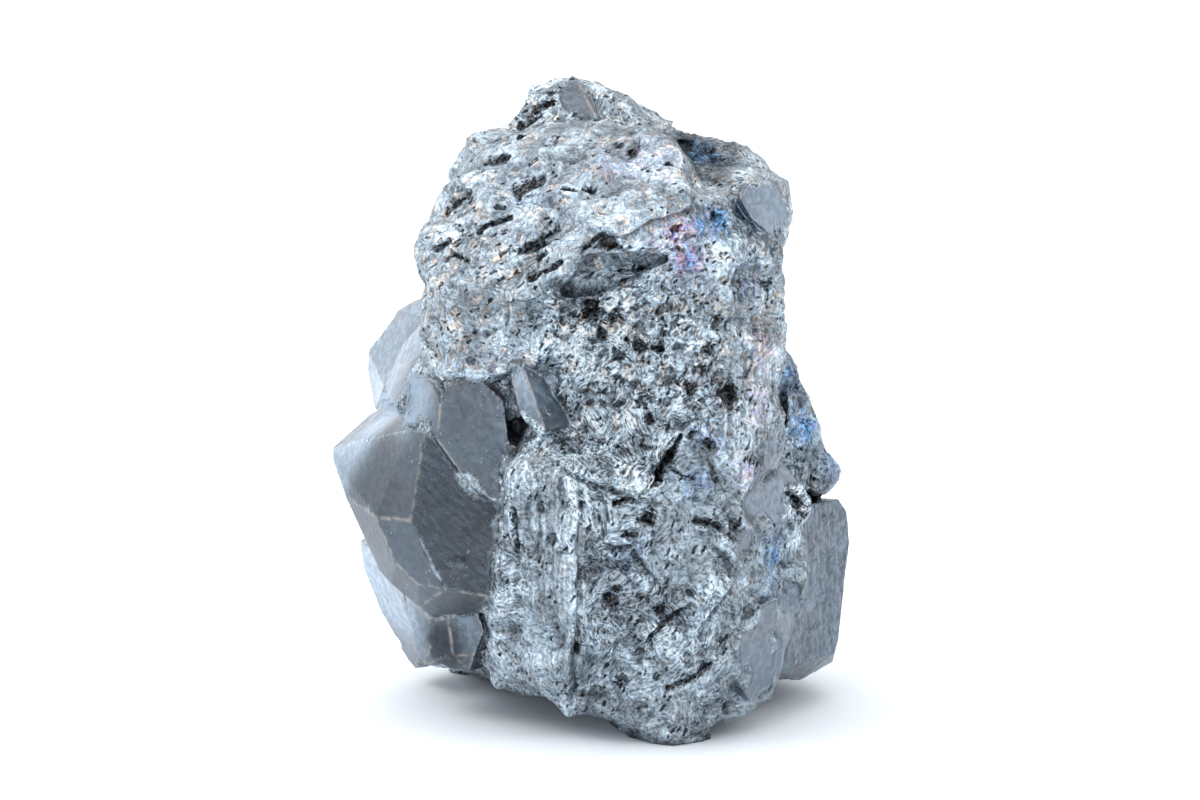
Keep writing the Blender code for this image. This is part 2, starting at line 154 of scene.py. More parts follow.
# Grooves on the front: the way each runs as (x, z), half its width and its depth.
GROOVES = [
    ([(-10.8, 39.1), (-9.1, 40.5)], 0.20, 0.50),
    ([(-8.4, 38.3), (-5.9, 39.4)], 0.18, 0.45),
    ([(-11.5, 36.6), (-10.5, 37.3)], 0.18, 0.45),
    ([(-5.2, 37.2), (-2.6, 38.6)], 0.34, 0.60),
    ([(-4.4, 35.5), (-2.4, 36.9)], 0.22, 0.50),
    ([(-4.0, 37.0), (-3.4, 37.3)], 0.24, 0.50),
    ([(-5.5, 40.9), (-4.7, 41.4), (-3.8, 41.8)], 0.38, 0.60),
    ([(-8.0, 42.3), (-6.3, 42.9)], 0.24, 0.50),
    ([(-7.6, 43.4), (-6.2, 44.0)], 0.15, 0.35),
    ([(-0.6, 41.4), (0.2, 41.3)], 0.16, 0.40),
    ([(1.8, 44.2), (2.2, 44.1)], 0.20, 0.40),
    ([(2.8, 43.7), (3.0, 43.6)], 0.26, 0.50),
    ([(-7.0, 39.9), (-6.5, 39.9)], 0.16, 0.40),
    ([(-10.3, 36.7), (-9.1, 36.2)], 0.15, 0.40),
    ([(-2.2, 41.4), (-1.1, 41.3)], 0.12, 0.35),
    ([(-0.1, 37.9), (0.7, 38.5), (1.6, 37.6)], 0.55, 0.90),
    ([(3.1, 35.5), (3.9, 35.6)], 0.18, 0.40),
    ([(2.2, 34.7), (2.9, 34.5)], 0.20, 0.50),
    ([(-3.5, 47.0), (-3.1, 46.6)], 0.24, 0.35),
    ([(-4.3, 45.4), (-2.9, 46.0)], 0.24, 0.40),
    ([(-5.4, 44.4), (-3.8, 45.0)], 0.20, 0.40),
    ([(1.7, 18.9), (3.1, 19.3), (4.4, 20.4)], 0.22, 0.60),
    ([(3.9, 19.9), (4.9, 20.9)], 0.26, 0.80),
    ([(4.9, 20.9), (5.7, 22.1)], 0.38, 1.00),
    ([(5.7, 22.1), (6.5, 23.5)], 0.20, 0.70),
    ([(5.5, 21.3), (6.4, 20.6), (7.4, 20.3)], 0.14, 0.30),
    ([(7.7, 17.5), (9.2, 17.0), (10.4, 15.9)], 0.36, 0.60),
    ([(6.5, 11.0), (5.3, 9.9), (4.2, 8.7)], 0.22, 0.45),
    ([(-5.6, 18.2), (-5.4, 15.2)], 0.25, 0.35),
    ([(5.6, 4.6), (7.0, 5.1), (8.6, 6.4)], 0.22, 0.40),
]

# Rounded bosses: the middle, radius and rise of each.
BUMPS = [
    ((7.1, -12.9, 21.0), 2.0, 0.65), ((9.5, -10.4, 33.0), 1.5, 0.35), ((5.5, -13.4, 8.2), 1.6, 0.35),
    ((-5.0, -14.6, 19.8), 1.8, 0.3), ((15.3, -5.4, 16.5), 2.2, 0.45),
]

# Smooth places on the mass: the middle and radius of each.
SMOOTH_SPOTS = [
    ((13.0, -9.5, 21.0), 1.4), ((12.6, -10.1, 19.3), 1.5), ((11.8, -10.6, 17.8), 1.2),
    ((14.7, -7.2, 9.8), 1.6), ((14.6, -8.3, 7.6), 1.7), ((14.2, -8.2, 5.4), 1.7),
    ((12.8, -10.4, 6.5), 1.4), ((12.3, -10.4, 4.4), 1.0), ((-8.2, -12.0, 18.0), 0.8),
]

# Slits painted as shade in the tone of the break: how they lean, their size and the heights between which
# they begin.
SLITS = [
    (math.radians(35), 0.55, (30.0, 34.0)),
    (math.radians(24), 0.34, (18.0, 30.0)),
    (math.radians(62), 0.42, (36.0, 30.0)),
]

# The greatest share of the places that have a slit, and that have a hole.
SLIT_SHARE = 0.55
HOLE_SHARE = 0.12

# Tarnish: a point, the radius that it covers, its strength, and its hue from blue (0) to gold (1).
TARNISH = [
    ((8.0, -1.9, 42.4), 2.8, 1.0, 0.06), ((9.2, -10.5, 39.0), 1.9, 1.0, 0.2),
    ((6.3, -12.5, 38.6), 1.7, 0.9, 0.75), ((6.9, -12.3, 36.5), 1.9, 0.8, 0.55),
    ((11.5, -9.5, 34.5), 2.0, 0.4, 0.4), ((12.5, -9.0, 29.5), 2.6, 0.45, 0.85),
    ((12.2, -9.5, 25.0), 2.4, 0.45, 0.8), ((11.2, -10.8, 20.5), 2.0, 0.5, 0.7),
    ((14.9, -0.5, 25.5), 2.0, 0.9, 0.0), ((16.0, -0.2, 21.5), 2.4, 1.0, 0.2),
    ((17.8, 1.5, 18.0), 2.0, 0.7, 0.3), ((13.6, -8.6, 13.6), 2.4, 0.85, 0.13),
    ((12.8, -9.4, 11.0), 2.0, 0.65, 0.15), ((13.4, -5.2, 37.4), 1.2, 0.9, 0.2),
    ((7.5, -13.4, 20.0), 2.4, 0.5, 0.17), ((2.5, -14.8, 15.2), 2.2, 0.4, 0.13),
    ((3.0, -9.0, 43.0), 4.5, 0.3, 0.55), ((-4.0, -10.0, 40.0), 5.0, 0.2, 0.35),
    ((8.6, -12.7, 23.5), 1.6, 0.5, 0.4), ((7.8, -11.8, 38.9), 1.2, 1.0, 0.25),
    ((4.5, -13.0, 38.0), 1.2, 0.5, 0.75),
]

# Kinds of break: a point, the radius, and how pitted, feathery, banded and light (painted light and shade)
# it is there.
KINDS = [
    ((-10.4, -6.2, 39.8), 3, (0.3, 0.2, 0, 1.08)), ((-11.8, -9, 35.8), 2.6, (0.4, 0.2, 0, 0.92)),
    ((-8.1, -12.5, 35.4), 2.6, (0.35, 0.2, 0, 0.92)), ((-5.2, -9.7, 40.4), 2.8, (0.25, 0.1, 0, 1.04)),
    ((-2.3, -8, 43.1), 3, (0.15, 0.1, 0, 0.88)), ((2.1, -8.8, 43.2), 3, (0.12, 0.1, 0, 0.84)),
    ((4.2, -11.7, 41.5), 2.4, (0.15, 0.1, 0, 0.92)), ((0.6, -13.1, 40.2), 2.2, (0.08, 0.1, 0, 1.02)),
    ((-1.9, -15.4, 37.7), 1.8, (0.08, 0.2, 0, 1)), ((-4.5, -12.4, 37.9), 2, (0.5, 0.2, 0, 0.9)),
    ((-8.3, -2.2, 42.9), 2.5, (0.2, 0.2, 0, 1)), ((-4.6, 1.7, 45.7), 2.2, (0.7, 0.4, 0, 1.2)),
    ((2.8, 2.3, 45.2), 3, (0.3, 0.4, 0, 1.05)), ((8, -1.9, 42.4), 2.4, (0.6, 0.3, 0, 0.45)),
    ((-0.6, -11.1, 34.8), 1.1, (0.15, 0.6, 0, 1.0)), ((1.8, -10.9, 35.7), 1.1, (0.15, 0.6, 0, 1.05)),
    ((3.8, -10.7, 36.6), 0.9, (0.15, 0.6, 0, 1.1)), ((-1.9, -12.0, 34.2), 0.8, (0.15, 0.6, 0, 0.9)),
    ((10.0, -1.5, 42.3), 1.4, (0.9, 0.3, 0, 0.3)), ((-5.2, -12.2, 23.1), 0.9, (0.6, 0.4, 0, 0.45)),
    ((-4.5, -12.5, 28.0), 1.6, (0.5, 0.4, 0, 1.35)), ((13.2, -2.1, 41.4), 2.5, (0.2, 0.2, 0, 1.1)),
    ((7.1, -10.7, 41.3), 2, (0.3, 0.3, 0, 1.1)), ((5.7, -12.9, 38), 2, (0.5, 0.4, 0, 1.46)),
    ((9.3, -11.6, 36.3), 2.2, (0.5, 0.4, 0, 1.4)), ((11.2, -9.6, 33), 2.2, (0.45, 0.3, 0.2, 1.1)),
    ((-2.3, -13.2, 32.2), 2, (0.9, 0.3, 0, 1.58)), ((0.6, -12.1, 32.7), 2, (1, 0.3, 0, 1.75)),
    ((3.5, -12, 33.4), 2, (0.8, 0.3, 0, 1.7)), ((6.4, -12.4, 32), 2, (1, 0.3, 0, 1.64)),
    ((-2.3, -12.2, 28.3), 2.2, (0.8, 0.3, 0, 1.75)), ((0.6, -12.2, 26.8), 2.2, (1, 0.3, 0, 1.64)),
    ((4.2, -12.5, 27.6), 2.2, (1, 0.3, 0, 1.75)), ((7.1, -12.9, 29.2), 2, (0.9, 0.3, 0, 1.4)),
    ((10.1, -11.1, 31), 2, (0.6, 0.3, 0.2, 1.35)), ((11.6, -10, 27.1), 2, (0.3, 0.3, 0.8, 1.2)),
    ((10.5, -11.5, 22.9), 2, (0.4, 0.3, 0.8, 1.1)), ((7.9, -12.7, 24.7), 2, (0.8, 0.6, 0, 1.35)),
    ((2.1, -12.9, 24), 2.4, (0.6, 1, 0, 1.25)), ((-1.6, -12.3, 23.8), 2.2, (0.5, 1, 0, 1.18)),
    ((7.2, -12.8, 21.3), 1.8, (0.3, 0.5, 0, 0.74)), ((-10.3, -11.2, 30.3), 2.6, (0.4, 0.3, 0, 1)),
    ((-8.1, -11.8, 27.8), 2.4, (0.4, 0.3, 0, 1.0)), ((-5.2, -13.5, 30.8), 2.4, (0.4, 0.3, 0, 1.15)),
    ((-5.2, -14.4, 19.8), 2, (0.3, 0.4, 1, 1.07)), ((-3, -14.7, 16.9), 1.8, (0.2, 0.3, 1, 1.12)),
    ((-2.7, -15, 11.7), 1.8, (0.15, 0.3, 1, 1.02)), ((-5.2, -13.3, 14.3), 1.6, (0.5, 0.8, 0.5, 0.91)),
    ((-5.7, -11.3, 7.8), 2.2, (0.3, 0.6, 0.3, 1.02)), ((-2.3, -13.2, 6.8), 2, (0.2, 0.4, 0.6, 0.98)),
    ((1.3, -15.2, 19.3), 2, (0.5, 1, 0, 1.24)), ((2.1, -15, 14.8), 2, (0.4, 1, 0, 1.02)),
    ((3.5, -14.6, 11.6), 2, (0.5, 1, 0, 1.19)), ((0.6, -14, 10), 2, (0.6, 1, 0, 1.07)),
    ((5, -14.8, 17), 2, (0.5, 0.8, 0, 1.13)), ((7.9, -13.3, 19.6), 2, (0.3, 0.5, 0, 1.13)),
    ((6.4, -14.4, 14.6), 2, (0.3, 0.4, 0, 1.19)), ((7.9, -14, 11.5), 2, (0.4, 1, 0, 1.2)),
    ((5, -13.8, 8.4), 2, (0.4, 0.9, 0, 1.24)), ((7.9, -13.6, 6.8), 2.2, (0.3, 1, 0, 1.2)),
    ((3.5, -13.3, 5.2), 2.2, (0.4, 0.6, 0, 1.13)), ((9.4, -13.5, 15.9), 1.6, (0.6, 0.4, 0, 0.96)),
    ((-0.1, -12, 4.1), 2, (0.5, 0.5, 0, 1.02)), ((8, -12.3, 3.5), 2.5, (0.4, 0.6, 0, 1.07)),
    ((4.3, -12.7, 2), 2.2, (0.4, 0.4, 0, 1.02)), ((11.6, -11.6, 13.9), 2, (0.3, 0.3, 0, 0.86)),
    ((10.5, -12, 9.4), 2, (0.4, 0.4, 0, 0.85)), ((10.2, -11.6, 4.8), 2.2, (0.2, 0.2, 0, 0.85)),
    ((15.7, -0.3, 23.5), 2.5, (0.5, 0.5, 0, 0.8)), ((16.8, -0.1, 19.6), 2.5, (0.5, 0.5, 0, 0.9)),
    ((15.3, -5.5, 16.1), 1.6, (0.4, 0.6, 0, 1.6)), ((17.5, -0.5, 9.0), 4.5, (0.1, 0.1, 1, 0.8)),
    ((14.3, -6.8, 6.5), 1.6, (0.1, 0.1, 0.5, 0.75)), ((-13.0, -6.0, 19.0), 5.0, (0.1, 0.1, 0, 1)),
    ((-5.0, -9.5, 25.0), 2.0, (0.4, 0.4, 0, 1.2)), ((0, 14, 22), 14, (0.45, 0.7, 0, 0.9)),
]

# Steps on the front: the way each runs as (x, z), how far its left side rises and how far that reaches.
STEPS = [
    ([(7.1, 40.3), (4.2, 39.8), (2.0, 38.6), (-0.1, 39.4)], -0.5, 2.5),
    ([(-1.5, 21.8), (-0.9, 18.6), (-1.3, 15.4), (-0.9, 12.0), (-1.5, 8.4), (-1.2, 4.5)], -0.5, 2.6),
    ([(-2.3, 21.9), (3.3, 19.2)], 0.55, 2.0),
    ([(1.1, 16.0), (3.0, 15.7), (4.9, 13.1)], 0.5, 2.0),
    ([(9.0, 15.6), (10.7, 13.4)], 0.4, 1.5),
    ([(10.0, 12.5), (7.8, 9.4), (7.9, 6.0)], -0.5, 2.4),
    ([(6.5, 11.0), (4.0, 8.5)], -0.35, 1.6),
]

# Painted light and shade of the crystal faces, by a point near each: a point, radius, and how light.
CRYSTAL_PAINTED_LIGHT = [
    ((-9.0, -10.0, 16.0), 5.0, 0.60), ((-8.5, -10.0, 23.0), 4.0, 0.70), ((-15.0, -5.0, 16.0), 4.0, 0.58),
    ((-14.5, -5.5, 12.5), 2.5, 0.70), ((-18.0, -0.5, 17.5), 1.8, 1.50), ((-14.5, 8.0, 27.0), 4.0, 2.40),
    ((-13.0, -6.5, 25.5), 2.6, 1.80), ((-16.3, -0.5, 21.7), 1.8, 4.50), ((-17.0, 1.5, 21.0), 4.0, 3.0),
    ((-14.0, -1.5, 27.0), 3.2, 3.2), ((-17.0, 0.0, 9.0), 4.0, 2.4), ((-10.8, -7.0, 6.0), 1.6, 0.22),
    ((-8.6, -7.0, 6.0), 1.6, 0.90), ((17.0, -1.0, 9.0), 8.0, 0.95), ((14.0, -6.5, 18.0), 4.0, 1.20),
    ((1.5, -11.0, 35.0), 3.5, 2.2), ((12.8, -6.5, 39.5), 3.0, 1.7), ((0.0, 2.0, 46.0), 3.0, 0.70),
    ((0.0, 17.0, 27.0), 8.0, 1.30), ((12.0, -10.5, 7.0), 4.0, 1.20), ((-4.8, -12.7, 24.5), 2.4, 1.1),
    ((-5.2, -12.2, 23.1), 0.9, 0.5), ((-4.0, -12.5, 27.0), 1.4, 1.9),
]


# Numbers that look random but are the same every time.

def mix(cells, seed):
    """A whole number for each cell."""
    h = cells[:, 0] * 73856093 ^ cells[:, 1] * 19349663 ^ cells[:, 2] * 83492791 ^ (seed * 2654435761)
    h = (h ^ (h >> 13)) * 1274126177 & 0x7FFFFFFF
    return (h ^ (h >> 16)) & 0x7FFFFFFF


def share(cells, seed):
    """A number from 0 to 1 for each cell."""
    return (mix(cells, seed) % 65536) / 65536.0


def share3(cells, seed):
    """Three numbers from 0 to 1 for each cell."""
    return np.stack([share(cells, seed + 11 * k) for k in range(3)], axis=1)


def smooth(low, high, value):
    """A smooth change from 0 at low to 1 at high."""
    t = np.clip((value - low) / (high - low), 0.0, 1.0)
    return t * t * (3 - 2 * t)


def noise(points, size, seed):
    """Soft noise from -1 to 1 whose lumps are about this size."""
    place = points / size
    base = np.floor(place).astype(np.int64)
    part = place - base
    part = part * part * (3 - 2 * part)
    total = np.zeros(len(points))
    for dx in (0, 1):
        for dy in (0, 1):
            for dz in (0, 1):
                weight = (
                    (part[:, 0] if dx else 1 - part[:, 0])
                    * (part[:, 1] if dy else 1 - part[:, 1])
                    * (part[:, 2] if dz else 1 - part[:, 2])
                )
                total += weight * share(base + (dx, dy, dz), seed)
    return 2 * total - 1


def cells(points, size, seed):
    """The two nearest seeds of a random packing: the way from each, its cell and its distance."""
    place = points / size
    base = np.floor(place).astype(np.int64)
    many = len(points)
    near = [np.full(many, 9.0), np.full(many, 9.0)]
    where = [np.zeros((many, 3)), np.zeros((many, 3))]
    which = [np.zeros((many, 3), np.int64), np.zeros((many, 3), np.int64)]
    for dx in (-1, 0, 1):
        for dy in (-1, 0, 1):
            for dz in (-1, 0, 1):
                cell = base + (dx, dy, dz)
                away = place - (cell + share3(cell, seed))
                distance = np.sqrt((away**2).sum(1))
                first = distance < near[0]
                second = ~first & (distance < near[1])
                nearest = (near[0], where[0], which[0])
                for better, source in ((first, nearest), (second, (distance, away, cell))):
                    near[1] = np.where(better, source[0], near[1])
                    where[1] = np.where(better[:, None], source[1], where[1])
                    which[1] = np.where(better[:, None], source[2], which[1])
                near[0] = np.where(first, distance, near[0])
                where[0] = np.where(first[:, None], away, where[0])
                which[0] = np.where(first[:, None], cell, which[0])
    return where, which, near


def chips(points, size, seed, edge):
    """Flat chips, each tilted its own way, from about -1 to 1. A small edge gives steps."""
    where, which, near = cells(points, size, seed)
    heights = []
    for away, cell in zip(where, which):
        tilt = 2 * share3(cell, seed + 5) - 1
        heights.append((away * tilt).sum(1) + 0.5 * (share(cell, seed + 7) - 0.5))
    blend = 0.5 + 0.5 * smooth(0.0, edge, near[1] - near[0])
    return heights[0] * blend + heights[1] * (1 - blend)


def ridges(points, size, seed):
    """Winding sharp ridges, from -1 to 1."""
    return 1 - 2.6 * np.abs(noise(points, size, seed))


def warped(points, size, amount, seed):
    """The points pushed about, so that what is laid over them winds and crumples."""
    push = [noise(points, size, seed + 17 * k) for k in range(3)]
    return points + amount * np.stack(push, axis=1)


def feathers(points, size, pitch, seed):
    """Fans of thin plates that turn from cell to cell: their height, and 0 at a cell's rim to 1 inside."""
    _, which, near = cells(points, size, seed)
    along = 2 * share3(which[0], seed + 3) - 1
    along /= np.linalg.norm(along, axis=1)[:, None]
    wave = (points * along).sum(1) / pitch + 0.9 * noise(points, size * 0.4, seed + 9)
    return 1 - 2 * np.abs(wave - np.floor(wave) - 0.5), smooth(0.0, 0.25, near[1] - near[0])


def sunk_cells(points, size, seed, depth_of):
    """Angular pits: depth_of(a random number from 0 to 1 for each cell) says how deep each cell lies."""
    _, which, near = cells(points, size, seed)
    depths = [depth_of(share(cell, seed + 1)) for cell in which]
    blend = 0.5 + 0.5 * smooth(0.0, 0.16, near[1] - near[0])
    return depths[0] * blend + depths[1] * (1 - blend)


# The skin: a fine even mesh over the frame's node.

def welded_copy(node):
    """A copy of the node's mesh, and the same with its triangles joined at their corners."""
    mesh = node.data.copy()
    shape = bmesh.new()
    shape.from_mesh(mesh)
    bmesh.ops.remove_doubles(shape, verts=shape.verts, dist=1e-6)
    bmesh.ops.triangulate(shape, faces=shape.faces)
    return mesh, shape


def flat_faces(shape):
    """The flat face that each triangle lies in, and the area, a point and the normal of each flat face."""
    shape.faces.ensure_lookup_table()
    shape.normal_update()
    group = [-1] * len(shape.faces)
    found = []
    for seed in sorted(shape.faces, key=lambda face: -face.calc_area()):
        if group[seed.index] >= 0:
            continue
        number = len(found)
        group[seed.index] = number
        members, front = [seed], [seed]
        while front:
            face = front.pop()
            for edge in face.edges:
                for other in edge.link_faces:
                    if group[other.index] < 0 and other.normal.angle(seed.normal, 9.0) < COPLANAR_ANGLE:
                        group[other.index] = number
                        members.append(other)
                        front.append(other)
        area = sum(face.calc_area() for face in members)
        centre = sum((face.calc_center_median() * face.calc_area() for face in members), Vector()) / area
        normal = sum((face.normal * face.calc_area() for face in members), Vector()).normalized()
        found.append((area / MM**2, centre / MM, normal))
    return group, found


def in_box(point, boxes):
    """Whether the point is in one of the boxes."""
    return any(all(low[k] <= point[k] <= high[k] for k in range(3)) for low, high in boxes)


def stays_flat(area, centre):
    """Whether this flat face of the frame's node is flat on the specimen too."""
    on_crystal = area > CRYSTAL_FLAT_AREA and in_box(centre, CRYSTAL_BOXES)
    return (area > FLAT_AREA or on_crystal) and not in_box(centre, BROKEN_BOXES)


def fine_skin(mesh):
    """The points, in millimetres, and the quads of an even mesh over this one."""
    obj = bpy.data.objects.new("skin", mesh)
    bpy.context.scene.collection.objects.link(obj)
    remesh = obj.modifiers.new("skin", "REMESH")
    remesh.mode = "VOXEL"
    remesh.voxel_size = SKIN_CELL * MM
    bpy.context.view_layer.update()
    made = obj.evaluated_get(bpy.context.evaluated_depsgraph_get()).to_mesh()
    points = np.empty(len(made.vertices) * 3)
    made.vertices.foreach_get("co", points)
    corners = np.empty(len(made.polygons) * 4, np.int64)
    made.loops.foreach_get("vertex_index", corners)
    quads = corners.reshape(-1, 4)
    bpy.data.objects.remove(obj)
    return points.reshape(-1, 3) / MM, quads


def normals_of(points, quads):
    """The normal at each point."""
    a, b, c, d = (points[quads[:, k]] for k in range(4))
    across = np.cross(c - a, d - b)
    total = np.zeros_like(points)
    for k in range(4):
        for axis in range(3):
            total[:, axis] += np.bincount(quads[:, k], across[:, axis], len(points))
    return total / np.maximum(np.linalg.norm(total, axis=1), 1e-12)[:, None]


def relaxed(points, quads, free, rounds):
    """Evens out the free points, so that the coarse triangles of the frame's node don't show."""
    pairs = np.concatenate([quads[:, [k, (k + 1) % 4]] for k in range(4)])
    count = np.bincount(pairs.ravel(), minlength=len(points))
    for _ in range(rounds):
        total = np.zeros_like(points)
        for axis in range(3):
            total[:, axis] = np.bincount(pairs[:, 0], points[pairs[:, 1], axis], len(points))
            total[:, axis] += np.bincount(pairs[:, 1], points[pairs[:, 0], axis], len(points))
        points = np.where(free[:, None], total / count[:, None], points)
    return points


def to_path(points, path):
    """Distance of each point from the path, both seen from the front."""
    nearest = np.full(len(points), np.inf)
    for start, end in zip(path[:-1], path[1:]):
        way = np.array(end) - np.array(start)
        away = points[:, [0, 2]] - np.array(start)
        share_along = np.clip(away @ way / (way @ way), 0, 1)
        nearest = np.minimum(nearest, np.linalg.norm(away - share_along[:, None] * way, axis=1))
    return nearest


def step_height(points, path, rise, reach):
    """A step, sharp along the path and gone at the reach. A positive rise lifts its left side."""
    height = np.zeros(len(points))
    for start, end in zip(path[:-1], path[1:]):
        way = np.array(end) - np.array(start)
        length = math.hypot(*way)
        way /= length
        away = points[:, [0, 2]] - np.array(start)
        along, left = away @ way, away @ np.array((-way[1], way[0])) * math.copysign(1, rise)
        inside = smooth(-0.7, 0.3, along) * smooth(-0.7, 0.3, length - along)
        lifted = smooth(-0.15, 0.15, left) * np.exp(-np.maximum(left, 0) / reach)
        groove = np.exp(-(((left + 0.3) / 0.22) ** 2))
        stronger = inside * (lifted + groove) > np.abs(height)
        height = np.where(stronger, inside * (lifted - 0.25 * groove), height)
    return abs(rise) * height


def spread(values, quads, rounds):
    """Values of the points, each made the average of its neighbours' so many times."""
    pairs = np.concatenate([quads[:, [k, (k + 1) % 4]] for k in range(4)])
    count = np.bincount(pairs.ravel(), minlength=len(values))
    for _ in range(rounds):
        total = np.bincount(pairs[:, 0], values[pairs[:, 1]], len(values))
        values = (total + np.bincount(pairs[:, 1], values[pairs[:, 0]], len(values))) / count
    return values


def rubbed(flat, points, quads):
    """The flat points, less a ragged rim where they meet the break and less the broken spots."""
    deep_in = spread(flat.astype(float), quads, RIM_ROUNDS)
    kept = deep_in > 0.66 + 0.30 * noise(points, 1.5, 25) + 0.14 * noise(points, 0.5, 26)
    kept |= points[:, 2] < FOOT_HEIGHT
    for centre, radius in BROKEN_SPOTS:
        away = np.linalg.norm(points - np.array(centre), axis=1) / radius
        kept &= away > 1 + 0.25 * noise(points, 0.8, 27)
    return kept


def near_any(points, spots):
    """Weight of each spot (point, radius, values) at each point."""
    weights = []
    for spot in spots:
        distance = np.linalg.norm(points - np.array(spot[0]), axis=1) / spot[1]
        weights.append(np.exp(-2.0 * distance**2))
    return np.array(weights)


mesh, shape = welded_copy(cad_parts["bournonite"])
group_of, groups = flat_faces(shape)
is_flat = [stays_flat(area, centre) for area, centre, _ in groups]
points, quads = fine_skin(mesh)
print("skin", len(points), "points,", sum(is_flat), "flat faces")

# Each point of the skin is on one flat face or on the broken mass.
shape.faces.ensure_lookup_table()
tree = BVHTree.FromBMesh(shape)
flat = np.zeros(len(points), bool)
plane_at = np.zeros((len(points), 3))
plane_normal = np.zeros((len(points), 3))
for k, place in enumerate(points):
    number = group_of[tree.find_nearest(Vector(place) * MM)[2]]
    if is_flat[number]:
        flat[k] = True
        plane_at[k] = groups[number][1]
        plane_normal[k] = groups[number][2]
flat &= rubbed(flat, points, quads)
off_plane = ((points - plane_at) * plane_normal).sum(1)
points = np.where(flat[:, None], points - plane_normal * off_plane[:, None], points)
points = relaxed(points, quads, ~flat, RELAX_ROUNDS)
normals = normals_of(points, quads)

# How each point is broken: pitted, feathery and banded, and its painted light and shade.
weights = near_any(points, KINDS) + 1e-9
kinds = (weights.T @ np.array([spot[2] for spot in KINDS])) / weights.sum(0)[:, None]
pitted, feathery, banded, painted_light = kinds.T

# Chips and flakes.
calm = 0.25 + 0.75 * pitted
crumpled = warped(warped(points, 2.6, 0.55, 60), 0.9, 0.22, 70)
big = chips(points, CHIP_SIZE, 1, 0.20)
middle = chips(crumpled, FLAKE_SIZE, 2, 0.12)
fan, fan_inside = feathers(crumpled, FAN_SIZE, FAN_PITCH, 4)
height = (0.28 + 0.18 * pitted) * big + (0.08 + 0.20 * calm) * middle
height += calm * (0.08 * ridges(crumpled, 1.9, 5) + 0.08 * ridges(crumpled, 0.85, 6))
height += calm * 0.05 * noise(crumpled, 0.45, 7)
height += feathery * 0.14 * fan * fan_inside
upright = points * (1.0, 0.5, 0.14)
height += banded * 0.18 * noise(upright, 0.42, 8)

on_front = smooth(0.1, 0.5, -normals[:, 1])
winding = warped(points, 1.6, 0.25, 90)
for path, rise, reach in STEPS:
    height += on_front * step_height(winding, path, rise, reach)
for centre, radius, rise in BUMPS:
    height += rise * (1 - smooth(0.3, 1.15, np.linalg.norm(points - np.array(centre), axis=1) / radius))

# Smooth places on the mass, with ragged rims.
sleek = np.zeros(len(points))
ragged = 0.30 * noise(points, 1.1, 28) + 0.18 * noise(points, 0.45, 29)
for centre, radius in SMOOTH_SPOTS:
    away = np.linalg.norm(points - np.array(centre), axis=1) / radius
    sleek = np.maximum(sleek, 1 - smooth(0.80, 1.05, away + ragged))
height *= 1 - 0.85 * sleek

# Holes are thickest where the mass is pitted.
chance = HOLE_SHARE * smooth(0.5, 1.0, pitted) * (1 - sleek) * smooth(-0.5, 0.5, noise(points, 2.8, 10))
holes = sunk_cells(crumpled, HOLE_SIZE, 9, lambda number: np.where(number < chance, 0.5 + number, 0.0))
depth = HOLE_DEPTH * holes

# Pits and grooves: how near one of them each point lies, from -1 at twice its width to 1 in its middle.
opening = np.full(len(points), -1.0)
full_depth = np.zeros(len(points))
hollows = []
for centre, radius, deep in PITS:
    away = np.linalg.norm(points - np.array(centre), axis=1)
    hollows.append((1 - away / radius, deep))
for path, width, deep in GROOVES:
    away = to_path(points, path)
    hollows.append((np.where(on_front > 0.5, 1 - away / width, -1), deep))
for inside, deep in hollows:
    full_depth = np.where(inside > opening, deep, full_depth)
    opening = np.maximum(opening, inside)
frayed = opening + 0.5 * noise(points, 0.45, 80)
depth = np.maximum(depth, CUT_SHARE * full_depth * smooth(-0.2, 0.7, frayed))
height -= depth
height -= SHRINK

# Flat faces stay flat but for a few shallow steps and grains that grow on them.
grain = smooth(0.62, 0.9, noise(points, 0.8, 21)) * smooth(0.0, 0.6, noise(points, 3.5, 22))
flat_height = 0.05 * grain + 0.012 * noise(points, 1.6, 23)
sole = flat & (points[:, 2] < SOLE_HEIGHT)
offset = np.where(flat, flat_height, height)
offset[sole] = 0.0

# The change from a flat face to the broken mass is gradual over a few cells.
pairs = np.concatenate([quads[:, [k, (k + 1) % 4]] for k in range(4)])
count = np.bincount(pairs.ravel(), minlength=len(points))
for _ in range(BLEND_ROUNDS):
    total = np.bincount(pairs[:, 0], offset[pairs[:, 1]], len(points))
    total += np.bincount(pairs[:, 1], offset[pairs[:, 0]], len(points))
    edge_zone = np.bincount(pairs[:, 0], flat[pairs[:, 1]] != flat[pairs[:, 0]], len(points)) > 0
    offset = np.where(edge_zone & ~sole, total / count, offset)
points = points + normals * offset[:, None]

low, high = (np.array(corner) / MM for corner in CAD_BOX)
points = np.clip(points, low, high)
deepness = np.where(flat, 0.0, depth)

# How far each point stands out from its surroundings, from -1 in a hollow to 1 on a ridge.
# The material paints shade in the hollows and a highlight on the ridges from it.
surroundings = relaxed(points, quads, ~sole, RIDGE_ROUNDS)
ridge = np.clip(((points - surroundings) * normals).sum(1) / RIDGE_HEIGHT, -1, 1)

